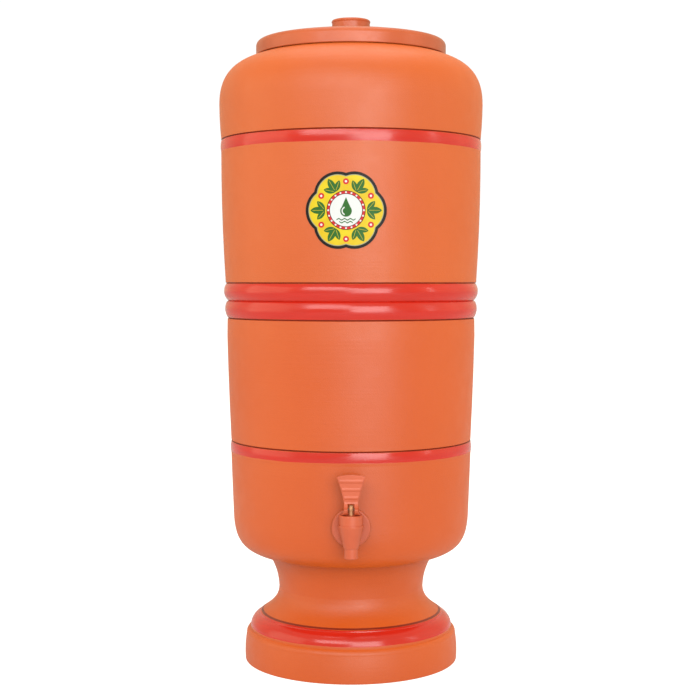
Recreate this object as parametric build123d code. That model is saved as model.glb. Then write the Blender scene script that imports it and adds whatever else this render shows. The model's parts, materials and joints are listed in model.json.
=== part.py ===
from build123d import *
import os
from math import cos, radians, sin

# Gravity water filter: a fired clay upper chamber with two filter candles stands on a clay lower
# chamber with a pedestal foot, a float valve under each candle and a lever tap at the front.
# Millimetres. The origin is on the vessels' axis, on the floor. The tap points along -Y.

# ---------------------------------------------------------------- clay, common to both chambers
wall = 9.5                  # side walls
floor_thickness = 11.0      # chamber floors
line_depth = 1.0            # incised lines beside the painted bands
line_half_width = 0.8

# ---------------------------------------------------------------- pedestal foot, heights stacked
foot_sole_r = 98.9          # sole of the foot ring
foot_ring_r = 100.4         # the ring's fullest radius
foot_top_r = 95.2           # where the painted band starts
foot_ring_height = 30.2
foot_edge = 1.3             # rounding of the sole's edge
foot_band_height = 12.6     # painted band on the ring's shoulder
foot_band_top_r = 88.2
foot_band_proud = 2.6       # swell of the band past its chord
foot_ring_tuck = 2.6        # how far the ring's side turns in below the band
foot_line_depth = 1.6       # incised line between the band and the flare
flare_height = 24.6         # from the incised line up to the waist
waist_r = 68.1
neck_height = 30.7          # from the waist up to the crease under the bowl
crease_r = 77.7
foot_hollow_r = 86.0        # hollow under the pedestal

# ---------------------------------------------------------------- lower chamber
bowl_height = 42.9          # from the crease to the straight side
bowl_r = 111.0
bowl_undercut = 6.1         # how far the bowl draws in above the crease
bowl_floor_r = 66.0
tap_side_height = 53.5      # side with the tap, up to the painted band
tap_side_swell = 0.2
lower_band_r = 112.95
lower_band_width = 11.5
lower_side_height = 114.6   # plain side above the band, up to the rim bead
lower_side_r = 116.1
lower_side_swell = 0.5
rim_bead_height = 15.6
rim_bead_proud = 2.2
band_proud = 0.6            # swell of the flush painted bands

# ---------------------------------------------------------------- upper chamber
foot_bead_height = 15.2
foot_bead_r = 117.4
foot_bead_proud = 1.8
side_step = 0.3             # plain side's foot outside the top of the bead
belly_height = 121.9        # plain side, up to the painted band
belly_r = 121.3
belly_swell = 0.95
upper_band_width = 10.0
shoulder_base_height = 33.2
shoulder_r = 122.95
shoulder_swell = 0.35
shoulder_height = 44.9
collar_r = 85.4
collar_height = 11.8
collar_thickness = 8.4
collar_root = 0.6           # rounding at the collar's foot
collar_edge = 0.8           # chamfer of the mouth's edges
spigot_depth = 9.0          # ring that drops into the lower chamber's rim
spigot_thickness = 9.0
spigot_clearance = 1.5
spigot_edge = 1.5

# ---------------------------------------------------------------- lid
lid_r = 88.6
lid_skin = 2.6
lid_edge = 5.0              # rounding of the rim's top edge
lid_foot_edge = 0.6         # rounding of the skirt's foot
lid_rise = 7.0              # crown of the lid's top
lid_gap = 0.8               # between the collar and the skirt
lid_hover = 0.3             # skirt's foot above the collar's root
lid_ring_clearance = 1.2
lid_ring_depth = 12.0
lid_ring_thickness = 2.2
lid_ribs = 12
lid_rib_thickness = 2.0
lid_rib_depth = 5.0
knob_r = 17.6
knob_height = 20.0          # above the edge of the lid's top
knob_edge = 2.0
knob_lip = 0.6
knob_crown = 0.4            # swell of the knob's top
knob_root = 2.4             # fillet at the knob's foot

# ---------------------------------------------------------------- label
label_r = 34.9              # out to the tips of its lobes
label_lobes = 6
label_lobe_r = 20.7
label_thickness = 0.35
label_glue = 0.05
label_height = 78.6         # centre, above the foot of the upper chamber
label_turn = -2.05          # degrees round the vessel

# ---------------------------------------------------------------- tap, along the shank
tap_seat_cut = 1.6          # flat cut into the side for the outer washer
shank_r = 7.75
shank_bore_r = 2.75
shank_spare = 3.0           # thread showing past the back nut
tap_hole_clearance = 1.0
tap_washer_r = 14.5
tap_inner_washer_r = 13.0
tap_washer_thickness = 2.5
washer_bore_clearance = 0.15
seat_margin = 1.0           # flats cut in the clay reach this far past the washers
flange_r = 17.0
flange_thickness = 3.0
flange_edge = 1.1
back_nut_flats = 24.0
back_nut_thickness = 7.0
back_nut_crown = 1.0        # height of the nut's corners taken off by its crown
thread_clearance = 0.1
thread_chamfer = 0.7        # at the ends of the shank and the candles' nipples

# ---------------------------------------------------------------- tap, up the valve's axis
housing_r = 11.0            # top of the conical housing
housing_root_r = 8.5        # short neck between the flange and the housing
housing_shoulder = 4.6      # above the shank's axis
housing_land = 1.2          # straight side above the cone
cone_foot_r = 6.6
cone_height = 20.0
spout_r = 6.0
spout_length = 9.3
spout_edge = 0.6
spout_bore_r = 3.3
chamber_r = 6.0
chamber_floor = 8.5         # below the shank's axis
seat_lip_height = 0.5
seat_lip_width = 0.8
neck_r = 8.2
neck_length = 6.0
bonnet_r = 10.25
bonnet_height = 8.7
bonnet_edge = 1.0
cup_rim_thickness = 0.8
cup_rim_r = 7.9
cup_r = 4.7
cup_wall = 1.0
cup_floor = 2.0
cup_lip_r = 2.7
cup_lip_height = 0.8
cup_edge = 0.5

# ---------------------------------------------------------------- stem, spring and lever
stem_r = 2.1
stem_clearance = 0.06
stem_head_r = 3.5
stem_head_height = 2.0
stem_crown = 3.4            # stem above the pin's axis
stem_edge = 0.6
spring_r = 2.95             # mean radius
spring_wire_r = 0.32
spring_pitch = 2.0
pin_r = 1.0
pin_clearance = 0.05
pin_press_gap = 0.02        # pin in the fork
cam_r = 5.0                 # from the pin down to the foot at rest
cam_lift = 2.5              # lift for each radian of tilt
cam_angle = 80.0            # degrees of tilt
cam_clearance = 0.05        # between the cam and the bonnet
lever_height = 30.1         # above the pin
lever_width = 25.4          # at the top
lever_leg_width = 12.3
lever_foot_width = 17.4
lever_crown = 1.8           # arch of the top edge
lever_thickness = 3.6       # at the top
lever_leg_thickness = 5.2
lever_lean = 1.6            # how far the top leans to the front
lever_corner = 1.0          # rounding where the sides meet the top edge
lever_edge = 0.6            # fillet of every edge
lever_knee = 1.5            # from the slot's top up to the paddle
slot_width = 6.0
slot_height = 5.05          # above the pin
grip_ribs = 3
grip_rib_pitch = 7.2
grip_rib_r = 3.2
grip_rib_proud = 0.55
grip_rib_inset = 1.2        # ribs end this far inside the paddle's sides

# ---------------------------------------------------------------- candles and float valves
candle_pitch = 100.0
candle_r = 27.0
candle_height = 98.0
candle_wall = 8.0
candle_base_r = 31.0
candle_base_height = 13.0
candle_base_floor = 4.0
candle_base_edge = 1.0
candle_glue = 0.1
candle_washer_r = 15.0
candle_washer_thickness = 2.5
nipple_r = 5.0
nipple_bore_r = 2.0
nipple_hole_clearance = 1.0
wing_nut_r = 9.0
wing_nut_height = 8.0
wing_reach = 19.0
wing_thickness = 3.0
wing_drop = 1.5             # wings' root below the top of the hub
wing_lift = 0.5             # wings' foot above the hub's foot
cage_hub_r = 8.5
cage_hub_height = 9.0
cage_r = 21.5
cage_plate = 2.4
cage_post_r = 1.6
cage_post_inset = 0.5       # posts stand this far inside the plates' rim
cage_posts = 4
cage_height = 38.0          # clear height between the plates
cage_window_r = 12.0
float_gap = 0.4             # between the float and the posts
float_edge = 0.5
float_dome = 3.0
float_boss_r = 6.5
float_boss_height = 2.0
float_boss_taper = 1.0
float_travel = 8.0
float_seal_r = 5.5
float_seal_thickness = 2.4
seal_clearance = 0.05

# ---------------------------------------------------------------- heights and places worked out
foot_line_z = foot_ring_height + foot_band_height + line_half_width
flare_z = foot_line_z + line_half_width
waist_z = flare_z + flare_height
crease_z = waist_z + neck_height
bowl_z = crease_z + bowl_height
hollow_top_z = crease_z - wall
bowl_floor_z = hollow_top_z + floor_thickness
lower_band_z = bowl_z + tap_side_height
lower_line_z = lower_band_z + lower_band_width + line_half_width
rim_line_z = lower_line_z + lower_side_height
rim_bead_z = rim_line_z + line_half_width
split_z = rim_bead_z + rim_bead_height

foot_bead_line_z = split_z + foot_bead_height + line_half_width
upper_band_z = foot_bead_line_z + belly_height
upper_line_z = upper_band_z + upper_band_width + line_half_width
shoulder_z = upper_line_z + shoulder_base_height
collar_z = shoulder_z + shoulder_height
mouth_z = collar_z + collar_height
mouth_r = collar_r - collar_thickness
upper_floor_z = split_z + floor_thickness
rim_inner_r = lower_side_r - wall
side_foot_r = foot_bead_r + side_step
side_foot_z = foot_bead_line_z + line_half_width

tap_z = bowl_z
seat_y = -(bowl_r - tap_seat_cut)
flange_back_y = seat_y - tap_washer_thickness
flange_front_y = flange_back_y - flange_thickness
valve_y = flange_front_y - housing_r
inner_seat_y = -(bowl_r - wall)
back_nut_y = inner_seat_y + tap_washer_thickness
shank_end_y = back_nut_y + back_nut_thickness + shank_spare

shoulder_top_z = tap_z + housing_shoulder
neck_top_z = shoulder_top_z + neck_length
ceiling_z = neck_top_z + cup_rim_thickness
bonnet_top_z = shoulder_top_z + bonnet_height
chamber_floor_z = tap_z - chamber_floor
seat_z = chamber_floor_z + seat_lip_height
cup_lip_z = seat_z + cup_floor + stem_head_height
pin_z = bonnet_top_z + cam_clearance + cam_r

candle_seat_z = upper_floor_z + candle_washer_thickness
wing_nut_z = split_z - candle_washer_thickness - wing_nut_height
cage_top_z = wing_nut_z
nipple_end_z = cage_top_z - cage_hub_height - cage_plate
cage_floor_z = nipple_end_z - cage_height
float_r = cage_r - cage_post_inset - 2 * cage_post_r - float_gap
float_seal_foot_z = nipple_end_z - seal_clearance - float_travel - float_seal_thickness
candle_places = (-candle_pitch / 2, candle_pitch / 2)


# ---------------------------------------------------------------- drawing helpers
def outline(start, *steps):
    """A closed face on the XZ plane, drawn as (radius, height) points.

    A step is a point for a straight run, [via, end] for an arc,
    or [pull out, pull in, end] for a curve.
    """
    edges = []
    here = start
    for step in steps:
        if isinstance(step, tuple):
            edges.append(Line(here, step))
            here = step
        else:
            curve = ThreePointArc if len(step) == 2 else Bezier
            edges.append(curve(here, *step))
            here = step[-1]
    if here != start:
        edges.append(Line(here, start))
    return make_face(Plane.XZ * Curve(edges))


def turned(start, *steps):
    """The outline revolved round the Z axis."""
    return revolve(outline(start, *steps), Axis.Z)


def incised(r, z):
    """Steps of a line cut into the side at height z."""
    return (r, z - line_half_width), (r - line_depth, z), (r, z + line_half_width)


def outwards(part, y):
    """A part built up from the XY plane, laid along the shank so that it grows outwards from y."""
    return Pos(0, y, tap_z) * Rot(90, 0, 0) * part


def ring(outer_r, inner_r, height):
    """A flat ring on the XY plane."""
    return extrude(Circle(outer_r) - Circle(inner_r), height)


def disc(r, height):
    """A plain round slug on the XY plane."""
    return extrude(Circle(r), height)


def on_valve(part):
    """A part turned round the Z axis, moved onto the valve's axis."""
    return Pos(0, valve_y, 0) * part


# ---------------------------------------------------------------- clay
def make_lower_chamber():
    band_mid_z = lower_band_z + lower_band_width / 2
    bead_mid_z = rim_bead_z + rim_bead_height / 2
    foot_mid = ((foot_top_r + foot_band_top_r) / 2, foot_ring_height + foot_band_height / 2)
    rim_r = lower_side_r - rim_bead_proud / 2
    outside = turned(
        (0, 0),
        (foot_sole_r, 0),
        [(foot_sole_r + 0.7 * foot_edge, 0.3 * foot_edge), (foot_sole_r + foot_edge, foot_edge)],
        [
            (foot_ring_r, 0.36 * foot_ring_height),
            (foot_ring_r - 0.54 * foot_ring_tuck, 0.83 * foot_ring_height),
        ],
        [(foot_ring_r - foot_ring_tuck, 0.95 * foot_ring_height), (foot_top_r, foot_ring_height)],
        [
            (foot_mid[0] + 0.75 * foot_band_proud, foot_mid[1] + 0.4 * foot_band_proud),
            (foot_band_top_r, foot_ring_height + foot_band_height),
        ],
        (foot_band_top_r - foot_line_depth, foot_line_z),
        (foot_band_top_r - 1.1 * foot_line_depth, flare_z),
        [
            (waist_r + 0.5 * (foot_band_top_r - waist_r), flare_z + 0.22 * flare_height),
            (waist_r, flare_z + 0.5 * flare_height),
            (waist_r, waist_z),
        ],
        [(waist_r + 0.3 * (crease_r - waist_r), waist_z + 0.53 * neck_height), (crease_r, crease_z)],
        [
            (bowl_r - bowl_undercut, crease_z + 0.11 * bowl_height),
            (bowl_r - 0.08 * bowl_undercut, crease_z + 0.38 * bowl_height),
            (bowl_r, bowl_z),
        ],
        [
            ((bowl_r + lower_band_r) / 2 + tap_side_swell, bowl_z + 0.55 * tap_side_height),
            (lower_band_r, lower_band_z),
        ],
        [(lower_band_r + band_proud, band_mid_z), (lower_band_r, lower_line_z - line_half_width)],
        *incised(lower_band_r, lower_line_z)[1:],
        [
            (
                (lower_band_r + lower_side_r) / 2 + lower_side_swell,
                lower_line_z + 0.45 * lower_side_height,
            ),
            (lower_side_r + 0.5 * lower_side_swell, lower_line_z + 0.85 * lower_side_height),
        ],
        *incised(lower_side_r, rim_line_z),
        [
            (lower_side_r + rim_bead_proud, bead_mid_z - 0.04 * rim_bead_height),
            (lower_side_r + 0.3 * rim_bead_proud, split_z - 0.08 * rim_bead_height),
        ],
        (rim_r, split_z),
        (0, split_z),
    )
    cavity = turned(
        (0, bowl_floor_z),
        (bowl_floor_r, bowl_floor_z),
        [
            (bowl_r - 1.6 * wall, bowl_floor_z + 0.05 * bowl_height),
            (bowl_r - wall, bowl_floor_z + 0.4 * bowl_height),
            (bowl_r - wall, bowl_z),
        ],
        (lower_band_r - wall, lower_band_z),
        [
            (
                (lower_band_r + lower_side_r) / 2 - wall + 0.6 * lower_side_swell,
                lower_band_z + 0.5 * lower_side_height,
            ),
            (rim_inner_r, rim_line_z - 0.1 * lower_side_height),
        ],
        (rim_inner_r, split_z),
        (0, split_z),
    )
    hollow = turned(
        (0, 0),
        (foot_hollow_r, 0),
        (foot_hollow_r, 0.7 * foot_ring_height),
        [
            (foot_hollow_r - 0.1 * wall, foot_ring_height + 0.4 * foot_band_height),
            (waist_r - wall, foot_ring_height + foot_band_height),
            (waist_r - wall, waist_z),
        ],
        [
            (waist_r - wall + 0.3 * (crease_r - waist_r), (waist_z + hollow_top_z) / 2),
            (crease_r - 1.4 * wall, hollow_top_z),
        ],
        (0, hollow_top_z),
    )
    tap_hole = outwards(disc(shank_r + tap_hole_clearance, 2 * wall), inner_seat_y + wall / 2)
    outer_flat = outwards(disc(tap_washer_r + seat_margin, wall), seat_y)
    inner_flat = outwards(disc(tap_inner_washer_r + seat_margin, wall), inner_seat_y + wall)
    return outside - cavity - hollow - tap_hole - outer_flat - inner_flat


def upper_side(inset):
    """Arc of the upper chamber's plain side, from its lowest incised line up to its band."""
    belly_mid_r = (foot_bead_r + belly_r) / 2 + belly_swell
    return [(belly_mid_r - inset, foot_bead_line_z + 0.45 * belly_height), (belly_r - inset, upper_band_z)]


def make_upper_chamber():
    bead_mid_z = split_z + 0.5 * foot_bead_height
    band_mid_z = upper_band_z + upper_band_width / 2
    spigot_r = rim_inner_r - spigot_clearance
    outside = turned(
        (0, split_z - spigot_depth),
        (spigot_r - spigot_edge, split_z - spigot_depth),
        (spigot_r, split_z - spigot_depth + spigot_edge),
        (spigot_r, split_z),
        (foot_bead_r - foot_bead_proud, split_z),
        [
            (foot_bead_r + foot_bead_proud, bead_mid_z),
            (foot_bead_r, split_z + foot_bead_height),
        ],
        *incised(side_foot_r, foot_bead_line_z)[1:],
        upper_side(0),
        [(belly_r + band_proud, band_mid_z), (belly_r, upper_line_z - line_half_width)],
        *incised(belly_r, upper_line_z)[1:],
        [
            ((belly_r + shoulder_r) / 2 + shoulder_swell, upper_line_z + 0.5 * shoulder_base_height),
            (shoulder_r, shoulder_z),
        ],
        [
            (shoulder_r, shoulder_z + 0.67 * shoulder_height),
            (collar_r + 0.55 * (shoulder_r - collar_r), collar_z - 0.12 * shoulder_height),
            (collar_r + collar_root, collar_z),
        ],
        (collar_r, collar_z + collar_root),
        (collar_r, mouth_z - collar_edge),
        (collar_r - collar_edge, mouth_z),
        (0, mouth_z),
    )
    corner = 1.2 * wall
    base_r = side_foot_r - wall
    cavity = turned(
        (0, upper_floor_z),
        (base_r - corner, upper_floor_z),
        [
            (base_r - 0.29 * corner, upper_floor_z + 0.29 * corner),
            (base_r, upper_floor_z + corner),
        ],
        upper_side(wall),
        (shoulder_r - wall, shoulder_z - 0.2 * shoulder_height),
        [
            (shoulder_r - wall, shoulder_z + 0.57 * shoulder_height),
            (mouth_r + 0.5 * (shoulder_r - collar_r), collar_z - 0.33 * shoulder_height),
            (mouth_r, collar_z - 0.12 * shoulder_height),
        ],
        (mouth_r, mouth_z - collar_edge),
        (mouth_r + collar_edge, mouth_z),
        (0, mouth_z),
    )
    recess = turned(
        (0, split_z - spigot_depth),
        (spigot_r - spigot_thickness, split_z - spigot_depth),
        (spigot_r - spigot_thickness, split_z),
        (0, split_z),
    )
    drill = disc(nipple_r + nipple_hole_clearance, floor_thickness)
    holes = [Pos(x, 0, split_z) * drill for x in candle_places]
    return outside - cavity - recess - holes


# ---------------------------------------------------------------- lid and label
def make_lid():
    skirt_z = collar_z + lid_hover
    top_z = mouth_z + lid_skin
    crown_z = top_z + lid_rise
    knob_top_z = top_z + knob_height
    root_r = knob_r + knob_root
    flat_r = lid_r - lid_edge
    inner_r = collar_r + lid_gap
    ring_r = mouth_r - lid_ring_clearance
    knob_inner_r = knob_r - lid_skin
    outside = turned(
        (0, skirt_z),
        (lid_r - 0.7 * lid_foot_edge, skirt_z),
        (lid_r, skirt_z + lid_foot_edge),
        (lid_r, top_z - lid_edge),
        [(lid_r - 0.3 * lid_edge, top_z - 0.3 * lid_edge), (flat_r, top_z)],
        [((flat_r + root_r) / 2, top_z + 0.72 * lid_rise), (root_r, crown_z)],
        [(knob_r + 0.3 * knob_root, crown_z + 0.3 * knob_root), (knob_r, crown_z + knob_root)],
        (knob_r + 0.2 * knob_lip, knob_top_z - knob_edge - 2 * knob_lip),
        (knob_r + knob_lip, knob_top_z - knob_edge),
        [
            (knob_r + knob_lip - 0.3 * knob_edge, knob_top_z - 0.3 * knob_edge),
            (knob_r + knob_lip - knob_edge, knob_top_z),
        ],
        (0, knob_top_z + knob_crown),
    )
    inside = turned(
        (0, skirt_z),
        (inner_r, skirt_z),
        (inner_r, mouth_z),
        (ring_r, mouth_z),
        [((flat_r + root_r) / 2, mouth_z + 0.72 * lid_rise), (knob_inner_r + knob_root, mouth_z + lid_rise)],
        (knob_inner_r, mouth_z + lid_rise + knob_root),
        (knob_inner_r, knob_top_z - lid_skin - 0.5 * knob_edge),
        (knob_inner_r - 0.5 * knob_edge, knob_top_z - lid_skin),
        (0, knob_top_z - lid_skin),
    )
    ring_foot_z = mouth_z - lid_ring_depth
    ring_drop = lid_ring_depth + 0.5 * lid_skin
    locating_ring = Pos(0, 0, ring_foot_z) * ring(ring_r, ring_r - lid_ring_thickness, ring_drop)
    rib_start = knob_inner_r + 0.5 * lid_skin
    rib_end = ring_r - 0.5 * lid_ring_thickness
    rib_side = outline(
        (rib_start, mouth_z - lid_rib_depth + lid_rise),
        (rib_end, mouth_z - lid_rib_depth),
        (rib_end, mouth_z + 0.5 * lid_skin),
        [((flat_r + root_r) / 2, mouth_z + 0.72 * lid_rise + 0.5 * lid_skin),
         (rib_start, mouth_z + lid_rise + 0.5 * lid_skin)],
    )
    rib = extrude(rib_side, lid_rib_thickness / 2, both=True)
    ribs = [Rot(0, 0, 360 / lid_ribs * i) * rib for i in range(lid_ribs)]
    return outside - inside + locating_ring + ribs


def make_front_label():
    centre_z = split_z + label_height
    reach = label_r - label_lobe_r
    shape = Circle(reach) + PolarLocations(reach, label_lobes) * Circle(label_lobe_r)
    sheet = extrude(Plane((0, 0, centre_z), x_dir=(1, 0, 0), z_dir=(0, -1, 0)) * shape, 2 * shoulder_r)
    skin = []
    for inset in (-label_glue - label_thickness, -label_glue):
        skin.append(
            turned(
                (0, side_foot_z),
                (side_foot_r - inset, side_foot_z),
                upper_side(inset),
                (0, upper_band_z),
            )
        )
    return Rot(0, 0, label_turn) * ((skin[0] - skin[1]) & sheet)


# ---------------------------------------------------------------- tap
def make_tap_body():
    cone_foot_z = shoulder_top_z - cone_height
    tip_z = cone_foot_z - spout_length
    housing = turned(
        (0, tip_z),
        (spout_r - spout_edge, tip_z),
        (spout_r, tip_z + spout_edge),
        (spout_r, cone_foot_z),
        (cone_foot_r, cone_foot_z),
        (housing_r, shoulder_top_z - housing_land),
        (housing_r, shoulder_top_z),
        (neck_r, shoulder_top_z),
        (neck_r, neck_top_z),
        (0, neck_top_z),
    )
    bores = turned(
        (0, tip_z),
        (spout_bore_r, tip_z),
        (spout_bore_r, seat_z),
        (spout_bore_r + seat_lip_width, seat_z),
        (spout_bore_r + seat_lip_width, chamber_floor_z),
        (chamber_r, chamber_floor_z),
        (chamber_r, neck_top_z),
        (0, neck_top_z),
    )
    flange = disc(flange_r, flange_thickness)
    flange = fillet(flange.edges().group_by(Axis.Z)[-1], flange_edge)
    flange = outwards(flange, flange_back_y)
    root = outwards(disc(housing_root_r, housing_r), flange_front_y)
    over_shoulder = Pos(0, valve_y, shoulder_top_z) * disc(2 * housing_r, housing_root_r)
    root -= over_shoulder
    shank = outwards(disc(shank_r, shank_end_y - flange_back_y), shank_end_y)
    shank = chamfer(shank.edges().sort_by(Axis.Y)[-1], thread_chamfer)
    body = on_valve(housing) + flange + root + shank
    water_bore = outwards(disc(shank_bore_r, shank_end_y - valve_y), shank_end_y)
    return body - on_valve(bores) - water_bore


def make_tap_washer(outer_r):
    return ring(outer_r, shank_r + washer_bore_clearance, tap_washer_thickness)


def make_back_nut():
    hexagon = RegularPolygon(back_nut_flats / 2, 6, major_radius=False)
    across_corners = back_nut_flats / cos(radians(30))
    nut = extrude(hexagon, back_nut_thickness)
    crown = Pos(0, 0, 0.5 * back_nut_thickness) * Cone(
        across_corners / 2 + 0.5 * back_nut_thickness, across_corners / 2 - back_nut_crown, back_nut_thickness
    )
    nut = nut & crown
    return nut - disc(shank_r + thread_clearance, back_nut_thickness)


def make_bonnet():
    return on_valve(
        turned(
            (neck_r + thread_clearance, shoulder_top_z),
            (bonnet_r, shoulder_top_z),
            (bonnet_r, bonnet_top_z - bonnet_edge),
            [
                (bonnet_r - 0.3 * bonnet_edge, bonnet_top_z - 0.3 * bonnet_edge),
                (bonnet_r - bonnet_edge, bonnet_top_z),
            ],
            (stem_r + stem_clearance, bonnet_top_z),
            (stem_r + stem_clearance, ceiling_z),
            (neck_r + thread_clearance, ceiling_z),
        )
    )


def make_seat_cup():
    """Silicone bell: its rim is held under the bonnet and its floor closes the seat."""
    return on_valve(
        turned(
            (0, seat_z),
            (cup_r - cup_edge, seat_z),
            (cup_r, seat_z + cup_edge),
            (cup_r, neck_top_z),
            (cup_rim_r, neck_top_z),
            (cup_rim_r, ceiling_z),
            (cup_r - cup_wall, ceiling_z),
            (cup_r - cup_wall, cup_lip_z + cup_lip_height),
            (cup_lip_r, cup_lip_z + cup_lip_height),
            (cup_lip_r, cup_lip_z),
            (cup_r - cup_wall, cup_lip_z),
            (cup_r - cup_wall, seat_z + cup_floor),
            (0, seat_z + cup_floor),
        )
    )


def make_spring():
    """Compression spring between the cup's lip and the bonnet."""
    foot_z = cup_lip_z + cup_lip_height + spring_wire_r
    height = ceiling_z - spring_wire_r - foot_z
    path = Helix(spring_pitch, height, spring_r)
    start = Plane(path @ 0, z_dir=path % 0)
    wire = sweep(start * RegularPolygon(spring_wire_r, 6), path=path, is_frenet=True)
    return Pos(0, valve_y, foot_z) * wire


def make_stem():
    head_z = seat_z + cup_floor
    rod = turned(
        (0, head_z),
        (stem_head_r, head_z),
        (stem_head_r, head_z + stem_head_height),
        (stem_r, head_z + stem_head_height),
        (stem_r, pin_z + stem_crown - stem_edge),
        (stem_r - stem_edge, pin_z + stem_crown),
        (0, pin_z + stem_crown),
    )
    eye = Pos(0, 0, pin_z) * Rot(0, 90, 0) * Cylinder(pin_r + pin_clearance, 4 * stem_r)
    return on_valve(rod - eye)


def cam_point(degrees_round):
    """Point of the cam under a tilt, from the pin: an involute, so the lift follows the tilt evenly."""
    turn = radians(degrees_round)
    reach = cam_r + cam_lift * turn
    return (
        -reach * sin(turn) - cam_lift * cos(turn),
        -reach * cos(turn) + cam_lift * sin(turn),
    )


def make_lever():
    """Fork with two cam feet and a ribbed paddle, drawn round the pin's axis."""
    heel = 0.5 * lever_leg_thickness
    knee_z = slot_height + lever_knee
    top_front = -heel - lever_lean
    toe = cam_point(cam_angle)
    steps = 6
    cam = [cam_point(cam_angle * i / steps) for i in range(steps + 1)]
    side = make_face(
        Plane.YZ
        * Curve(
            [
                Line((heel, -cam_r), cam[0]),
                Spline(*cam),
                ThreePointArc(toe, (toe[0] * 0.55, toe[1] + 0.25 * knee_z), (-heel, knee_z)),
                Line((-heel, knee_z), (top_front, lever_height)),
                Line((top_front, lever_height), (top_front + lever_thickness, lever_height)),
                Line((top_front + lever_thickness, lever_height), (heel, knee_z)),
                Line((heel, knee_z), (heel, -cam_r)),
            ]
        )
    )
    half_leg = lever_leg_width / 2
    half_top = lever_width / 2
    half_foot = lever_foot_width / 2
    edge_z = lever_height - lever_crown
    front = outline(
        (-half_foot, -cam_r),
        (half_foot, -cam_r),
        [(half_leg + 0.3 * (half_foot - half_leg), -0.5 * cam_r), (half_leg, 0)],
        (half_leg, slot_height),
        [
            (half_leg + 0.38 * (half_top - half_leg), 0.5 * (slot_height + edge_z)),
            (half_top - 0.5 * lever_corner, edge_z - lever_corner),
        ],
        (half_top - 0.2 * lever_corner, edge_z),
        [(0, lever_height), (-half_top + 0.2 * lever_corner, edge_z)],
        (-half_top + 0.5 * lever_corner, edge_z - lever_corner),
        [
            (-half_leg - 0.38 * (half_top - half_leg), 0.5 * (slot_height + edge_z)),
            (-half_leg, slot_height),
        ],
        (-half_leg, 0),
        [(-half_leg - 0.3 * (half_foot - half_leg), -0.5 * cam_r), (-half_foot, -cam_r)],
    )
    depth = 4 * (cam_r + cam_lift)
    lever = extrude(side, lever_width, both=True) & extrude(front, depth, both=True)
    lever = fillet(lever.edges(), lever_edge)
    first_rib_z = edge_z - 0.5 * grip_rib_pitch
    for i in range(grip_ribs):
        rib_z = first_rib_z - i * grip_rib_pitch
        share = (rib_z - knee_z) / (lever_height - knee_z)
        face_y = -heel - lever_lean * share
        half_width = half_leg + (half_top - half_leg) * share - grip_rib_inset
        bar = Rot(0, 90, 0) * Cylinder(grip_rib_r, 2 * half_width)
        lever += Pos(0, face_y + grip_rib_r - grip_rib_proud, rib_z) * bar & extrude(front, depth, both=True)
    slot_foot_z = -2 * cam_r
    slot = Pos(0, 0, slot_foot_z) * Box(
        slot_width, 2 * depth, slot_height - slot_foot_z, align=(Align.CENTER, Align.CENTER, Align.MIN)
    )
    eye = Rot(0, 90, 0) * Cylinder(pin_r + pin_press_gap, 2 * lever_width)
    return Pos(0, valve_y, pin_z) * (lever - slot - eye)


def make_lever_pin():
    return Pos(0, valve_y, pin_z) * Rot(0, 90, 0) * Cylinder(pin_r, lever_leg_width)


# ---------------------------------------------------------------- candles and float valves
def make_candle_ceramic():
    """Hollow ceramic dome: a straight tube closed by a half sphere."""
    foot_z = candle_seat_z + candle_base_floor
    dome_z = foot_z + candle_height - candle_r
    inner_r = candle_r - candle_wall
    halfway = sin(radians(45))
    return turned(
        (inner_r, foot_z),
        (candle_r, foot_z),
        (candle_r, dome_z),
        [(halfway * candle_r, dome_z + halfway * candle_r), (0, dome_z + candle_r)],
        (0, dome_z + inner_r),
        [(halfway * inner_r, dome_z + halfway * inner_r), (inner_r, dome_z)],
    )


def make_candle_base():
    floor_z = candle_seat_z + candle_base_floor
    return turned(
        (nipple_bore_r, nipple_end_z),
        (nipple_r - thread_chamfer, nipple_end_z),
        (nipple_r, nipple_end_z + thread_chamfer),
        (nipple_r, candle_seat_z),
        (candle_base_r - candle_base_edge, candle_seat_z),
        (candle_base_r, candle_seat_z + candle_base_edge),
        (candle_base_r - 0.8 * candle_base_edge, candle_seat_z + candle_base_height),
        (candle_r + candle_glue, candle_seat_z + candle_base_height),
        (candle_r + candle_glue, floor_z),
        (nipple_bore_r, floor_z),
    )


def make_wing_nut():
    hub = disc(wing_nut_r, wing_nut_height)
    wing_side = outline(
        (0, wing_lift),
        (0.75 * wing_reach, 0),
        [(wing_reach, 0.4 * wing_nut_height), (0.8 * wing_reach, wing_nut_height - 0.8 * wing_drop)],
        (0.5 * wing_nut_r, wing_nut_height - wing_drop),
    )
    wing = extrude(wing_side, wing_thickness / 2, both=True)
    nut = hub + wing + Rot(0, 0, 180) * wing
    return nut - disc(nipple_r + thread_clearance, wing_nut_height)


def make_float_cage():
    """Hub that screws on the nipple, and two plates held by posts round the float."""
    hub = Pos(0, 0, nipple_end_z) * disc(cage_hub_r, cage_plate + cage_hub_height)
    top = Pos(0, 0, nipple_end_z) * disc(cage_r, cage_plate)
    bottom = Pos(0, 0, cage_floor_z - cage_plate) * ring(cage_r, cage_window_r, cage_plate)
    post = Pos(0, 0, cage_floor_z) * disc(cage_post_r, cage_height)
    posts = PolarLocations(cage_r - cage_post_inset - cage_post_r, cage_posts) * post
    bore = Pos(0, 0, nipple_end_z) * disc(nipple_r + thread_clearance, cage_plate + cage_hub_height)
    return hub + top + bottom + posts - bore


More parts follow.
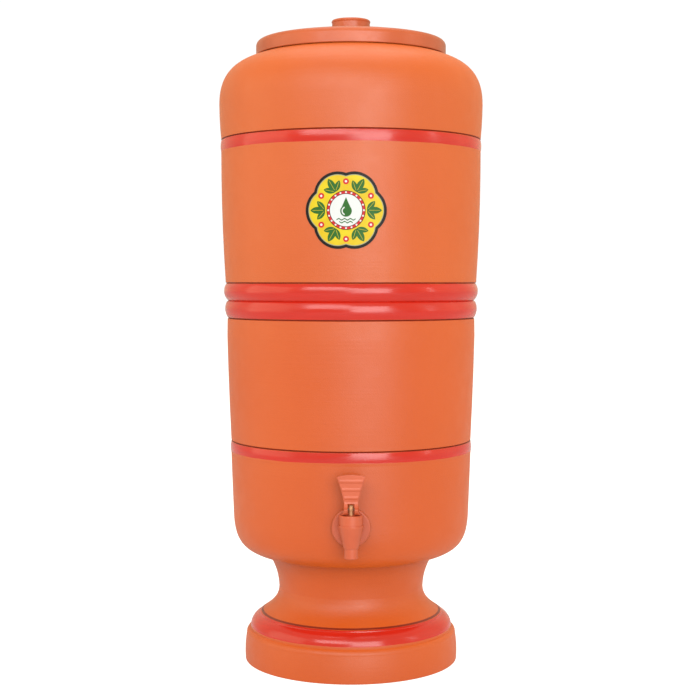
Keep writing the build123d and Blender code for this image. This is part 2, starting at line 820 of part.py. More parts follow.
def make_float():
    boss_z = float_seal_foot_z - float_boss_height
    return turned(
        (0, cage_floor_z),
        (float_r - float_edge, cage_floor_z),
        (float_r, cage_floor_z + float_edge),
        (float_r, boss_z - float_dome),
        [(0.75 * float_r, boss_z - 0.3 * float_dome), (float_boss_r, boss_z)],
        (float_boss_r - float_boss_taper, float_seal_foot_z),
        (0, float_seal_foot_z),
    )


def make_float_seal():
    return Pos(0, 0, float_seal_foot_z) * disc(float_seal_r, float_seal_thickness)


# ---------------------------------------------------------------- all pieces
pieces = {
    "lower_chamber": make_lower_chamber(),
    "upper_chamber": make_upper_chamber(),
    "lid": make_lid(),
    "front_label": make_front_label(),
    "tap_body": make_tap_body(),
    "tap_outer_washer": outwards(make_tap_washer(tap_washer_r), seat_y),
    "tap_inner_washer": outwards(make_tap_washer(tap_inner_washer_r), inner_seat_y + tap_washer_thickness),
    "tap_back_nut": outwards(make_back_nut(), back_nut_y + back_nut_thickness),
    "tap_bonnet": make_bonnet(),
    "tap_seat_cup": make_seat_cup(),
    "tap_spring": make_spring(),
    "tap_stem": make_stem(),
    "tap_lever": make_lever(),
    "tap_lever_pin": make_lever_pin(),
}
candle_washer = ring(candle_washer_r, nipple_r + washer_bore_clearance, candle_washer_thickness)
candle_set = {
    "candle_ceramic": make_candle_ceramic(),
    "candle_base": make_candle_base(),
    "candle_washer": Pos(0, 0, upper_floor_z) * candle_washer,
    "candle_under_washer": Pos(0, 0, split_z - candle_washer_thickness) * candle_washer,
    "candle_wing_nut": Pos(0, 0, wing_nut_z) * make_wing_nut(),
    "float_cage": make_float_cage(),
    "float": make_float(),
    "float_seal": make_float_seal(),
}
for number, x in enumerate(candle_places, start=1):
    for name, piece in candle_set.items():
        pieces[f"{name}_{number}"] = Pos(x, 0, 0) * piece

os.makedirs("parts", exist_ok=True)
for name, piece in pieces.items():
    export_step(piece, f"parts/{name}.step")
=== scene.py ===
import json
import math

import bpy
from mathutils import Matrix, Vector

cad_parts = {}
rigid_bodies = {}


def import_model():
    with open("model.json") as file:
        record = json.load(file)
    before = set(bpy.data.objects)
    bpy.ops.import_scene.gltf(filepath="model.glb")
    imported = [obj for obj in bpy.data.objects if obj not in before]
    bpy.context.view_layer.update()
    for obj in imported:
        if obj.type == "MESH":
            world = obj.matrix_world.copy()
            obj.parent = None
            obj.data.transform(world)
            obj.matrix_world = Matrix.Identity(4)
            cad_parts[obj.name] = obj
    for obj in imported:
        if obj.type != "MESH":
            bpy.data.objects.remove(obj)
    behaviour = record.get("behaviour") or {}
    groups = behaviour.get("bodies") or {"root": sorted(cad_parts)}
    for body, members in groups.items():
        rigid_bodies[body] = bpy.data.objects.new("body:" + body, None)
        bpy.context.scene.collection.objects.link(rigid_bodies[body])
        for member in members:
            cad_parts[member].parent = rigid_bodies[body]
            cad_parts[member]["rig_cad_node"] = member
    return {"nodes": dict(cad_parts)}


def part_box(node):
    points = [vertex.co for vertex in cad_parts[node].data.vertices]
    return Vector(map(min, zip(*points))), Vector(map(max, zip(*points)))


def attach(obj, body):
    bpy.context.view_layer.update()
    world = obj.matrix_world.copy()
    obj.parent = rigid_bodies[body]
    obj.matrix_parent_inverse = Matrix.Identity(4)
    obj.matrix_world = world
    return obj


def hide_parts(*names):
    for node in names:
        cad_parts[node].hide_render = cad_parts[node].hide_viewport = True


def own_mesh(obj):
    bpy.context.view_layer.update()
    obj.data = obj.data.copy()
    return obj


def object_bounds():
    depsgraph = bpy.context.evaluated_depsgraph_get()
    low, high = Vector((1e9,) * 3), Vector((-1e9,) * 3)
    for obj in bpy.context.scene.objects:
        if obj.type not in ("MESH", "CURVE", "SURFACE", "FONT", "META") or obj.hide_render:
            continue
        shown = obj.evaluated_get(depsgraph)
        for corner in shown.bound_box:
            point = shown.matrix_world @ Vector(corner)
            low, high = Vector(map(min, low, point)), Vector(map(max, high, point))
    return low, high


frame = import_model()
cad_low, cad_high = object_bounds()
nodes = frame["nodes"]

# Gravity water filter: two fired clay vessels with painted red bands, a plastic lid, a printed
# label and a plastic tap. Metres, in the frame of the solids: +Z up, the tap towards -Y.

# ---------------------------------------------------------------- where the enamel goes
split_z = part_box("lower_chamber")[1].z      # where the upper vessel stands on the lower one
bead_width = 0.0154
bead_margin = 0.0002        # the enamel starts this far below the lower bead
bead_overlap = 0.0100       # and runs this far past the split
lower_band_z = split_z - 0.1407
lower_band_width = 0.0089
upper_band_z = split_z + 0.1379
upper_band_width = 0.0100
foot_band_z = 0.0325
foot_band_width = 0.0103
foot_rim_z = 0.0420         # here the enamel runs up over the foot's ledge
foot_rim_width = 0.0032
line_width = 0.0016         # brown line of painted shade in the groove beside a band
paint_edge = 0.00015        # softness of the enamel's edges
paint_wobble = 0.0011       # how far they wander

# No enamel lies inside these radii, which keeps it off the vessels' inner walls.
outside_r = 0.109
upper_outside_r = 0.1148
foot_outside_r = 0.0865
foot_rim_r = 0.080


# ---------------------------------------------------------------- shader helpers
class Finish:
    """A procedural material under construction, with short calls for the nodes that it needs."""

    def __init__(self, name, **settings):
        self.material = bpy.data.materials.new(name)
        self.material.use_nodes = True
        self.tree = self.material.node_tree
        self.surface = self.tree.nodes["Principled BSDF"]
        for socket, value in settings.items():
            self.surface.inputs[socket.replace("_", " ")].default_value = value
        self.place = self.tree.nodes.new("ShaderNodeTexCoord").outputs["Object"]

    def feed(self, socket, value):
        """Links an output to a socket, or sets a plain value on it."""
        if isinstance(value, bpy.types.NodeSocket):
            self.tree.links.new(value, socket)
        else:
            socket.default_value = value

    def math(self, operation, *values):
        """One step of arithmetic."""
        node = self.tree.nodes.new("ShaderNodeMath")
        node.operation = operation
        for socket, value in zip(node.inputs, values):
            self.feed(socket, value)
        return node.outputs[0]

    def axes(self):
        """The x, y and z of the place on the object."""
        node = self.tree.nodes.new("ShaderNodeSeparateXYZ")
        self.feed(node.inputs[0], self.place)
        return node.outputs

    def stretched(self, x, y, z):
        """The object's own coordinates, stretched along each axis."""
        node = self.tree.nodes.new("ShaderNodeMapping")
        self.feed(node.inputs["Vector"], self.place)
        node.inputs["Scale"].default_value = (x, y, z)
        return node.outputs[0]

    def noise(self, scale, detail=3.0, rough=0.5, place=None):
        """Clouds around a half. The scale counts them along a metre."""
        node = self.tree.nodes.new("ShaderNodeTexNoise")
        self.feed(node.inputs["Vector"], place or self.place)
        node.inputs["Scale"].default_value = scale
        node.inputs["Detail"].default_value = detail
        node.inputs["Roughness"].default_value = rough
        return node.outputs["Fac"]

    def pores(self, scale):
        """Distance to scattered points, for pits and grains."""
        node = self.tree.nodes.new("ShaderNodeTexVoronoi")
        self.feed(node.inputs["Vector"], self.place)
        node.inputs["Scale"].default_value = scale
        return node.outputs["Distance"]

    def between(self, value, low, high, to_low=0.0, to_high=1.0):
        """A smooth step from to_low to to_high as value goes from low to high."""
        node = self.tree.nodes.new("ShaderNodeMapRange")
        node.interpolation_type = "SMOOTHSTEP"
        for socket, number in zip(node.inputs, (value, low, high, to_low, to_high)):
            self.feed(socket, number)
        return node.outputs[0]

    def mixed(self, share, first, second):
        """Two colours mixed by a share."""
        node = self.tree.nodes.new("ShaderNodeMix")
        node.data_type = "RGBA"
        colours = [socket for socket in node.inputs if socket.type == "RGBA"]
        self.feed(node.inputs["Factor"], share)
        for socket, colour in zip(colours, (first, second)):
            self.feed(socket, colour if isinstance(colour, bpy.types.NodeSocket) else (*colour, 1.0))
        return next(socket for socket in node.outputs if socket.type == "RGBA")

    def colour(self, value):
        """Sets the base colour."""
        self.feed(self.surface.inputs["Base Color"], value)

    def roughness(self, value):
        """Sets the roughness."""
        self.feed(self.surface.inputs["Roughness"], value)

    def relief(self, height, depth, under=None):
        """Small relief of a depth in metres, over another relief if one is given."""
        node = self.tree.nodes.new("ShaderNodeBump")
        node.inputs["Distance"].default_value = depth
        self.feed(node.inputs["Height"], height)
        if under is not None:
            self.feed(node.inputs["Normal"], under)
        self.feed(self.surface.inputs["Normal"], node.outputs[0])
        return node.outputs[0]


def paint(node_name, finish):
    """Gives a CAD node its finish."""
    slots = nodes[node_name].data.materials
    slots.clear()
    slots.append(finish)


# ---------------------------------------------------------------- clay with painted bands
# The upper vessel's clay colours are paler than the lower's: painted light, for the light that falls
# from above.
lower_clay_colours = ((0.508, 0.080, 0.0070), (0.538, 0.093, 0.0110), (0.428, 0.061, 0.0055))
upper_clay_colours_painted_lighter = ((0.508, 0.091, 0.0105), (0.540, 0.105, 0.0150), (0.430, 0.070, 0.0080))
# Dark brown of the lines in the grooves beside the bands: painted shade.
groove_shade_brown = (0.175, 0.010, 0.002)
enamel_red = (0.500, 0.015, 0.0060)
enamel_dark = (0.425, 0.010, 0.0040)
clay_roughness = (0.40, 0.47)
enamel_roughness = (0.17, 0.27)
cloud_share = 0.55          # how much of the pale colour the clouds bring
grain_share = 0.22          # and of the dark colour the grain
pit_share = 0.70            # and the pits
streak_share = 0.35         # how much of the dark enamel the streaks bring
turning_depth = 0.00010     # rings left by the wheel
grain_depth = 0.00006


def clay_finish(name, colours, bands, lines):
    """Matte fired clay with bands of glossy enamel, and brown lines of painted shade in the grooves
    beside them.

    The colours are the clay's common one, its pale and its dark one. A band is (height, width,
    least radius), a line (height, least radius).
    """
    common, pale, dark = colours
    clay = Finish(name, IOR=1.53, Diffuse_Roughness=1.0)
    x, y, z = clay.axes()
    squares = [clay.math("MULTIPLY", side, side) for side in (x, y)]
    radius = clay.math("SQRT", clay.math("ADD", *squares))
    clouds = clay.between(clay.noise(9.0, 4.0), 0.3, 0.7)
    grain = clay.between(clay.noise(1400.0, 2.0), 0.35, 0.75)
    base = clay.mixed(clay.math("MULTIPLY", clouds, cloud_share), common, pale)
    base = clay.mixed(clay.math("MULTIPLY", grain, grain_share), base, dark)
    pits = clay.between(clay.pores(420.0), 0.10, 0.16, 1.0, 0.0)
    rare = clay.between(clay.noise(95.0, 2.0), 0.58, 0.66)
    pits = clay.math("MULTIPLY", pits, rare)
    base = clay.mixed(clay.math("MULTIPLY", pits, pit_share), base, dark)

    wobble = clay.math("SUBTRACT", clay.noise(38.0, 2.0), 0.5)
    edge_z = clay.math("ADD", z, clay.math("MULTIPLY", wobble, paint_wobble))
    painted = 0.0
    for low, width, least_r in bands:
        high = low + width
        above = clay.between(edge_z, low - paint_edge, low + paint_edge)
        below = clay.between(edge_z, high - paint_edge, high + paint_edge, 1.0, 0.0)
        outside = clay.math("GREATER_THAN", radius, least_r)
        band = clay.math("MULTIPLY", clay.math("MULTIPLY", above, below), outside)
        painted = clay.math("MAXIMUM", painted, band)
    # Brown lines in the grooves beside the bands: painted shade, darkening the grooves.
    groove_shade = 0.0
    for middle, least_r in lines:
        away = clay.math("ABSOLUTE", clay.math("SUBTRACT", z, middle))
        line = clay.between(away, 0.25 * line_width, 0.55 * line_width, 1.0, 0.0)
        outside = clay.math("GREATER_THAN", radius, least_r)
        groove_shade = clay.math("MAXIMUM", groove_shade, clay.math("MULTIPLY", line, outside))

    streaks = clay.between(clay.noise(26.0, 3.0, 0.5, clay.stretched(1.0, 1.0, 9.0)), 0.35, 0.7)
    enamel = clay.mixed(clay.math("MULTIPLY", streaks, streak_share), enamel_red, enamel_dark)
    clay.colour(clay.mixed(groove_shade, clay.mixed(painted, base, enamel), groove_shade_brown))
    matte = clay.between(clay.noise(60.0, 3.0), 0.3, 0.7, *clay_roughness)
    gloss = clay.between(streaks, 0.0, 1.0, *enamel_roughness)
    plain = clay.math("SUBTRACT", 1.0, painted)
    clay.roughness(
        clay.math("ADD", clay.math("MULTIPLY", matte, plain), clay.math("MULTIPLY", gloss, painted))
    )
    turning = clay.noise(1.0, 3.0, 0.55, clay.stretched(6.0, 6.0, 420.0))
    rings = clay.relief(clay.math("MULTIPLY", turning, plain), turning_depth)
    rough = clay.math("SUBTRACT", grain, pits)
    clay.relief(clay.math("MULTIPLY", rough, plain), grain_depth, rings)
    return clay.material


lower_clay = clay_finish(
    "painted_clay_lower",
    lower_clay_colours,
    bands=[
        (foot_band_z, foot_band_width, foot_outside_r),
        (foot_rim_z, foot_rim_width, foot_rim_r),
        (lower_band_z, lower_band_width, outside_r),
        (split_z - bead_width - bead_margin, bead_width + bead_overlap, outside_r),
    ],
    lines=[
        (foot_rim_z + foot_rim_width + 0.5 * line_width, foot_rim_r),
        (lower_band_z + lower_band_width + 0.5 * line_width, outside_r),
        (split_z - bead_width - 0.5 * line_width - bead_margin, outside_r),
    ],
)
# Paler clay colours on the upper vessel: painted light from above.
upper_clay = clay_finish(
    "painted_clay_upper",
    upper_clay_colours_painted_lighter,
    bands=[
        (split_z - bead_overlap, bead_width + bead_overlap, upper_outside_r),
        (upper_band_z, upper_band_width, upper_outside_r),
    ],
    lines=[
        (split_z + bead_width + 0.5 * line_width, upper_outside_r),
        (upper_band_z + upper_band_width + 0.5 * line_width, upper_outside_r),
    ],
)


# ---------------------------------------------------------------- plastic, rubber and metal
scuffed = 0.14              # roughness that handling adds to a plastic
bloomed = 0.15              # and that bloom adds to rubber
tarnished = 0.20            # and that tarnish adds to metal
peel_depth = 0.00002        # relief of moulded plastic
rubber_depth = 0.00002
tool_mark_depth = 0.00001
tool_marks = (1.0, 1.0, 40.0)           # stretch of the marks along x, y and z
ceramic_depth = 0.00008
ceramic_roughness = (0.85, 0.95)
ceramic_white = (0.83, 0.79, 0.70)
ceramic_shade = (0.76, 0.71, 0.61)
ceramic_speck = (0.45, 0.42, 0.37)
speck_share = 0.30


def moulded_finish(name, light, dark, gloss):
    """Injection moulded plastic: faint flow clouds, orange peel and handling marks."""
    plastic = Finish(name, IOR=1.49)
    clouds = plastic.between(plastic.noise(35.0, 3.0), 0.3, 0.7)
    plastic.colour(plastic.mixed(clouds, light, dark))
    marks = plastic.between(plastic.noise(160.0, 5.0, 0.7), 0.45, 0.75, gloss, gloss + scuffed)
    plastic.roughness(marks)
    plastic.relief(plastic.noise(900.0, 2.0), peel_depth)
    return plastic.material


def rubber_finish(name, light, dark, rough):
    """Moulded rubber or silicone with a light bloom."""
    rubber = Finish(name, IOR=1.42)
    bloom = rubber.between(rubber.noise(220.0, 4.0), 0.35, 0.75)
    rubber.colour(rubber.mixed(bloom, dark, light))
    rubber.roughness(rubber.between(bloom, 0.0, 1.0, rough, rough + bloomed))
    rubber.relief(rubber.noise(2400.0, 2.0), rubber_depth)
    return rubber.material


def metal_finish(name, bright, dull, rough):
    """Turned or drawn metal, with tool marks along the bar and spots of tarnish."""
    metal = Finish(name, Metallic=1.0)
    tarnish = metal.between(metal.noise(300.0, 4.0), 0.45, 0.8)
    metal.colour(metal.mixed(tarnish, bright, dull))
    metal.roughness(metal.between(tarnish, 0.0, 1.0, rough, rough + tarnished))
    marks = metal.noise(120.0, 3.0, 0.5, metal.stretched(*tool_marks))
    metal.relief(marks, tool_mark_depth)
    return metal.material


def ceramic_finish():
    """Porous filter ceramic: chalky, with fine pores and a few grey specks."""
    ceramic = Finish("filter_ceramic", IOR=1.5)
    specks = ceramic.between(ceramic.pores(900.0), 0.12, 0.2, 1.0, 0.0)
    clouds = ceramic.between(ceramic.noise(40.0, 4.0), 0.3, 0.7)
    base = ceramic.mixed(clouds, ceramic_white, ceramic_shade)
    grey = ceramic.math("MULTIPLY", specks, speck_share)
    ceramic.colour(ceramic.mixed(grey, base, ceramic_speck))
    ceramic.roughness(ceramic.between(clouds, 0.0, 1.0, *ceramic_roughness))
    pitted = ceramic.math("SUBTRACT", ceramic.noise(1500.0, 3.0), specks)
    ceramic.relief(pitted, ceramic_depth)
    return ceramic.material


lid_plastic = moulded_finish("lid_plastic", (0.455, 0.090, 0.029), (0.420, 0.079, 0.023), 0.34)
tap_plastic = moulded_finish("tap_plastic", (0.470, 0.088, 0.036), (0.430, 0.074, 0.028), 0.36)
candle_plastic = moulded_finish("candle_plastic", (0.050, 0.160, 0.420), (0.040, 0.130, 0.350), 0.36)
white_plastic = moulded_finish("white_plastic", (0.820, 0.820, 0.790), (0.760, 0.760, 0.730), 0.38)
float_plastic = moulded_finish("float_plastic", (0.800, 0.780, 0.700), (0.730, 0.710, 0.630), 0.42)
black_rubber = rubber_finish("black_rubber", (0.040, 0.040, 0.040), (0.015, 0.015, 0.015), 0.6)
silicone = rubber_finish("silicone", (0.800, 0.790, 0.760), (0.700, 0.690, 0.660), 0.4)
brass = metal_finish("stem_brass", (0.740, 0.480, 0.280), (0.590, 0.360, 0.200), 0.72)
spring_steel = metal_finish("spring_steel", (0.620, 0.620, 0.600), (0.420, 0.420, 0.410), 0.25)
pin_steel = metal_finish("pin_steel", (0.240, 0.170, 0.115), (0.150, 0.105, 0.075), 0.65)
ceramic = ceramic_finish()


# ---------------------------------------------------------------- printed label
label_black = (0.004, 0.003, 0.003)
label_yellow = (0.520, 0.420, 0.012)
label_amber = (0.500, 0.350, 0.012)
label_green = (0.016, 0.095, 0.014)
label_red = (0.420, 0.014, 0.018)
label_white = (0.520, 0.545, 0.560)
label_grey = (0.240, 0.245, 0.150)
label_turn = math.radians(-2.05)        # round the vessel, from the front
label_lobes = 6
label_lobe_r = 0.0207
label_rim = 0.0024                      # black edge
label_line = 0.0007                     # grey line inside it
label_edge = 0.00006                    # softness of the print's edges
label_medal_r = 0.0168                  # round field in the middle
medal_border = 0.0030
medal_rim = 0.0006                      # black line round the field's border
medal_line = 0.0005                     # black line inside it
medal_beads = 20
medal_bead_r = 0.0008
sprig_root = 0.0180                     # distance of the sprigs from the middle
middle_leaf = (0.0, 0.0128, 0.0030)     # lean, length and half width
side_leaf = (0.85, 0.0104, 0.0024)
vein_width = 0.00014                    # half of it
vein_share = 0.36                       # of the leaf's length, each way from its middle
berry_reach = 0.0246
berry_r = 0.0026
berry_eye_r = 0.0010
drop_r = 0.0050
drop_sink = 0.0006                      # the round part's middle, below the label's
drop_tip = 0.0112                       # the point's height
drop_taper = 0.44                       # half width lost for each unit of height
drop_join = (0.0014, 0.0018)            # heights between which the point takes over
shine_r = 0.0038
shine_inner = (0.0027, 0.0029)
shine_left = -0.0012                    # the shine is left of this
wave_turns = 1250.0                     # radians along a metre
wave_height = 0.0006
wave_line = 0.0005
waves = ((0.0078, 0.0082), (0.0102, 0.0058))        # depth and half length
label_roughness = (0.42, 0.52)
label_depth = 0.00003                   # relief of the film


def printed_label():
    """A lobed black rim, a yellow field with sprigs and berries, and a white one with a drop."""
    low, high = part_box("front_label")
    label = Finish("printed_label", IOR=1.5, Specular_IOR_Level=0.2)

    def size_of(*sides):
        """Length of the line that has these sides."""
        squares = [label.math("MULTIPLY", side, side) for side in sides]
        return label.math("SQRT", label.math("ADD", *squares))

    def inside(distance, limit):
        """1 where a distance is under a limit."""
        return label.between(distance, limit - label_edge, limit + label_edge, 1.0, 0.0)

    def both(first, second):
        """1 where both values are 1."""
        return label.math("MULTIPLY", first, second)

    x, y, z = label.axes()
    across = label.math(
        "ADD",
        label.math("MULTIPLY", x, math.cos(label_turn)),
        label.math("MULTIPLY", y, math.sin(label_turn)),
    )
    up = label.math("SUBTRACT", z, (low.z + high.z) / 2)
    radius = size_of(across, up)
    bearing = label.math("ARCTAN2", up, across)

    def sector(count):
        """Places along and beside the middle line of the nearest of some equal sectors."""
        angle = 2 * math.pi / count
        turned = label.math("FLOORED_MODULO", label.math("ADD", bearing, angle / 2), angle)
        folded = label.math("SUBTRACT", turned, angle / 2)
        return (
            label.math("MULTIPLY", radius, label.math("COSINE", folded)),
            label.math("ABSOLUTE", label.math("MULTIPLY", radius, label.math("SINE", folded))),
        )

    lobe_angle = 2 * math.pi / label_lobes
    lobe_reach = ((high.z - low.z) / 2 - label_lobe_r) / math.sin(lobe_angle)
    along, aside = sector(label_lobes)

    def away(centre_along, centre_aside):
        """Distance from a point of the folded sector."""
        return size_of(
            label.math("SUBTRACT", along, centre_along),
            label.math("SUBTRACT", aside, centre_aside),
        )

    def lobed(margin):
        """Inside the outline, drawn in by a margin."""
        return inside(away(lobe_reach, 0.0), label_lobe_r - margin)

    def leaf(lean, length, plump):
        """A pointed leaf that leans from its sector's middle: two arcs that cross at its tips."""
        out = label.math("SUBTRACT", along, sprig_root)
        lengthways = label.math(
            "ADD",
            label.math("MULTIPLY", out, math.cos(lean)),
            label.math("MULTIPLY", aside, math.sin(lean)),
        )
        sideways = label.math(
            "SUBTRACT",
            label.math("MULTIPLY", aside, math.cos(lean)),
            label.math("MULTIPLY", out, math.sin(lean)),
        )
        arc_r = (length * length / 4 + plump * plump) / (2 * plump)
        from_middle = label.math("SUBTRACT", lengthways, length / 2)
        to_arc = label.math("ADD", label.math("ABSOLUTE", sideways), arc_r - plump)
        blade = inside(size_of(from_middle, to_arc), arc_r)
        vein = both(
            inside(label.math("ABSOLUTE", sideways), vein_width),
            inside(label.math("ABSOLUTE", from_middle), vein_share * length),
        )
        return label.math("SUBTRACT", blade, both(blade, vein))

    clouds = label.between(label.noise(60.0, 2.0), 0.35, 0.65)
    field = label.mixed(clouds, label_yellow, label_amber)
    colour = label.mixed(lobed(label_rim), label_black, label_grey)
    colour = label.mixed(lobed(label_rim + label_line), colour, field)
    colour = label.mixed(leaf(*middle_leaf), colour, label_green)
    colour = label.mixed(leaf(*side_leaf), colour, label_green)
    berry = away(berry_reach * math.cos(lobe_angle / 2), berry_reach * math.sin(lobe_angle / 2))
    colour = label.mixed(inside(berry, berry_r), colour, label_red)
    colour = label.mixed(inside(berry, berry_eye_r), colour, label_white)
    colour = label.mixed(inside(radius, label_medal_r), colour, label_black)
    colour = label.mixed(inside(radius, label_medal_r - medal_rim), colour, label_red)
    bead_along, bead_aside = sector(medal_beads)
    from_bead = label.math("SUBTRACT", bead_along, label_medal_r - medal_border / 2)
    bead = inside(size_of(from_bead, bead_aside), medal_bead_r)
    colour = label.mixed(bead, colour, label_white)
    field_r = label_medal_r - medal_border
    colour = label.mixed(inside(radius, field_r + medal_line), colour, label_black)
    colour = label.mixed(inside(radius, field_r), colour, label_white)

    belly = size_of(across, label.math("ADD", up, drop_sink))
    side = label.math("ABSOLUTE", across)
    slope = label.math("MULTIPLY", label.math("SUBTRACT", drop_tip, up), drop_taper)
    point = inside(label.math("SUBTRACT", side, slope), 0.0)
    tip = both(point, label.between(up, *drop_join))
    drop = label.math("MAXIMUM", inside(belly, drop_r), tip)
    colour = label.mixed(drop, colour, label_green)
    shine = both(inside(belly, shine_r), label.between(belly, *shine_inner))
    shine = both(shine, label.math("LESS_THAN", across, shine_left))
    colour = label.mixed(shine, colour, label_white)
    swing = label.math("SINE", label.math("MULTIPLY", across, wave_turns))
    wave = label.math("MULTIPLY", swing, wave_height)
    for depth, half_length in waves:
        crest = label.math("ABSOLUTE", label.math("ADD", label.math("ADD", up, depth), wave))
        crest = both(inside(crest, wave_line), inside(side, half_length))
        colour = label.mixed(crest, colour, label_green)
    label.colour(colour)
    label.roughness(label.between(label.noise(120.0, 4.0), 0.35, 0.7, *label_roughness))
    label.relief(label.noise(300.0, 2.0), label_depth)
    return label.material


# ---------------------------------------------------------------- finishes onto the solids
finishes = {
    "lower_chamber": lower_clay,
    "upper_chamber": upper_clay,
    "lid": lid_plastic,
    "front_label": printed_label(),
    "tap_body": tap_plastic,
    "tap_bonnet": tap_plastic,
    "tap_lever": tap_plastic,
    "tap_back_nut": tap_plastic,
    "tap_outer_washer": black_rubber,
    "tap_inner_washer": black_rubber,
    "tap_seat_cup": silicone,
    "tap_spring": spring_steel,
    "tap_lever_pin": pin_steel,
    "tap_stem": brass,
}
candle_finishes = {
    "candle_ceramic": ceramic,
    "candle_base": candle_plastic,
    "candle_washer": black_rubber,
    "candle_under_washer": black_rubber,
    "candle_wing_nut": white_plastic,
    "float_cage": white_plastic,
    "float": float_plastic,
    "float_seal": silicone,
}
for number in (1, 2):
    for piece, finish in candle_finishes.items():
        finishes[f"{piece}_{number}"] = finish
for node_name, finish in finishes.items():
    paint(node_name, finish)
for solid in nodes.values():
    solid.data.shade_smooth()


# ---------------------------------------------------------------- soft pieces of the valve
lip_margin = 0.0003
bell_foot_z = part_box("tap_spring")[0].z + lip_margin    # just above the lip under the spring
merge_distance = 0.000001
crease_angle = math.radians(40.0)


def select(thing):
    """Makes one object the active one and selects it alone."""
    bpy.ops.object.select_all(action="DESELECT")
    bpy.context.view_layer.objects.active = thing
    thing.select_set(True)


def duplicate(node_name, name):
    """A merged copy of a node, which can be cut."""
    select(nodes[node_name])
    bpy.ops.object.duplicate()
    piece = bpy.context.object
    piece.name = name
    piece.data.name = name
    del piece["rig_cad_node"]
    bpy.ops.object.mode_set(mode="EDIT")
    bpy.ops.mesh.select_all(action="SELECT")
    bpy.ops.mesh.remove_doubles(threshold=merge_distance)
    bpy.ops.object.mode_set(mode="OBJECT")
    bpy.ops.object.shade_smooth_by_angle(angle=crease_angle)
    return piece


def cut_at_bell_foot(piece, **cleared):
    """Cuts a piece level with the bell's foot and closes the cut."""
    select(piece)
    bpy.ops.object.mode_set(mode="EDIT")
    bpy.ops.mesh.select_all(action="SELECT")
    bpy.ops.mesh.bisect(
        plane_co=(0.0, 0.0, bell_foot_z), plane_no=(0.0, 0.0, 1.0), use_fill=True, **cleared
    )
    bpy.ops.object.mode_set(mode="OBJECT")


def shorten(piece):
    """Hangs a piece on the lower vessel's body and gives it a mesh of its own."""
    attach(piece, "lower_vessel")
    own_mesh(piece)


seat_bell = duplicate("tap_seat_cup", "seat_bell")
seat_plug = duplicate("tap_seat_cup", "seat_plug")
return_spring = duplicate("tap_spring", "return_spring")
cut_at_bell_foot(seat_bell, clear_inner=True)
cut_at_bell_foot(seat_plug, clear_outer=True)
shorten(seat_bell)
shorten(return_spring)
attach(seat_plug, "valve")
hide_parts("tap_seat_cup")
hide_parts("tap_seat_cup")
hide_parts("tap_spring")


# ---------------------------------------------------------------- studio
plain_white = (1.0, 1.0, 1.0)
warm_air = (1.0, 0.91, 0.66)
ambient_light = 0.78
backdrop_light = 1.05
floor_size = 30.0
floor_grey = 0.38
floor_glow = (0.30, 0.95)               # as the object sees it, as the camera sees it
camera_place = (-0.0009, -1.350, 0.3582)
camera_dip = math.radians(2.8)
camera_lens = 73.54
camera_sensor = 36.0
softboxes = (
    # name, azimuth, elevation, distance, width, height, power, colour
    ("key_left", -22.0, 25.0, 1.9, 1.30, 0.80, 13.5, plain_white),
    ("key_right", 17.0, 10.0, 1.9, 1.15, 1.25, 23.0, plain_white),
    ("overhead", -10.0, 94.0, 1.9, 1.50, 1.80, 15.0, plain_white),
    ("strip_right", 74.0, 12.0, 1.8, 0.12, 0.90, 1.0, plain_white),
    ("wing_left", -80.0, 8.0, 2.4, 2.20, 2.20, 17.0, warm_air),
    ("wing_right", 88.0, 8.0, 2.4, 2.20, 2.20, 4.0, warm_air),
)


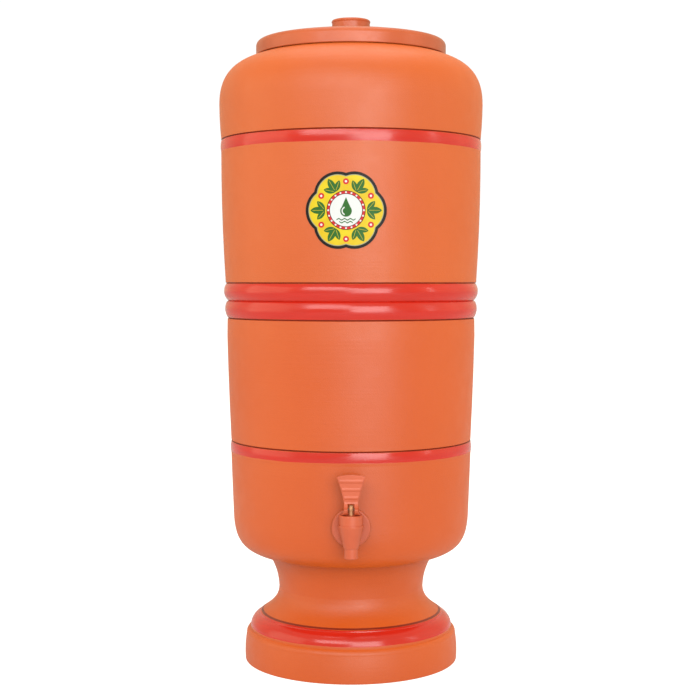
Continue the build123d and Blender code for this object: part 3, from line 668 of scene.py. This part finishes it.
def make_floor():
    """A wide floor that looks as white to the camera as the backdrop does."""
    bpy.ops.object.select_all(action="DESELECT")
    bpy.ops.mesh.primitive_plane_add(size=floor_size, location=(0, 0, 0))
    floor = bpy.context.object
    floor.name = "studio_floor"
    pale = Finish(
        "studio_floor",
        Base_Color=(floor_grey, floor_grey, floor_grey, 1.0),
        Roughness=0.9,
        Emission_Color=(*plain_white, 1.0),
    )
    seen = pale.tree.nodes.new("ShaderNodeLightPath").outputs["Is Camera Ray"]
    pale.feed(pale.surface.inputs["Emission Strength"], pale.between(seen, 0.0, 1.0, *floor_glow))
    floor.data.materials.append(pale.material)


def make_softbox(name, azimuth, elevation, distance, width, height, power, colour):
    """A rectangular light that faces the object's middle, from an azimuth right of the front."""
    light = bpy.data.lights.new(name, "AREA")
    light.shape = "RECTANGLE"
    light.size = width
    light.size_y = height
    light.energy = power
    light.color = colour
    box = bpy.data.objects.new(name, light)
    bpy.context.scene.collection.objects.link(box)
    turn, rise = math.radians(azimuth), math.radians(elevation)
    middle = (cad_low + cad_high) / 2
    level = math.cos(rise)
    outward = Vector((math.sin(turn) * level, -math.cos(turn) * level, math.sin(rise)))
    box.location = middle + distance * outward
    box.rotation_mode = "QUATERNION"
    box.rotation_quaternion = (-outward).to_track_quat("-Z", "Y")


def make_world():
    """A warm ambient light, seen by the camera as a plain white backdrop."""
    world = bpy.data.worlds.new("studio_air")
    world.use_nodes = True
    tree = world.node_tree
    background = tree.nodes["Background"]
    seen = tree.nodes.new("ShaderNodeLightPath").outputs["Is Camera Ray"]
    air = tree.nodes.new("ShaderNodeMix")
    air.data_type = "RGBA"
    tree.links.new(seen, air.inputs["Factor"])
    ends = [socket for socket in air.inputs if socket.type == "RGBA"]
    ends[0].default_value = (*(ambient_light * part for part in warm_air), 1.0)
    ends[1].default_value = (*(backdrop_light * part for part in plain_white), 1.0)
    mixed = next(socket for socket in air.outputs if socket.type == "RGBA")
    tree.links.new(mixed, background.inputs["Color"])
    bpy.context.scene.world = world


def make_camera():
    """A camera in front of the object, a little above its middle."""
    camera = bpy.data.cameras.new("view")
    camera.sensor_width = camera_sensor
    camera.lens = camera_lens
    stand = bpy.data.objects.new("view", camera)
    bpy.context.scene.collection.objects.link(stand)
    stand.location = camera_place
    stand.rotation_euler = (math.radians(90.0) - camera_dip, 0.0, 0.0)
    bpy.context.scene.camera = stand


make_floor()
make_world()
for softbox in softboxes:
    make_softbox(*softbox)
make_camera()
bpy.context.scene.view_settings.view_transform = "Standard"
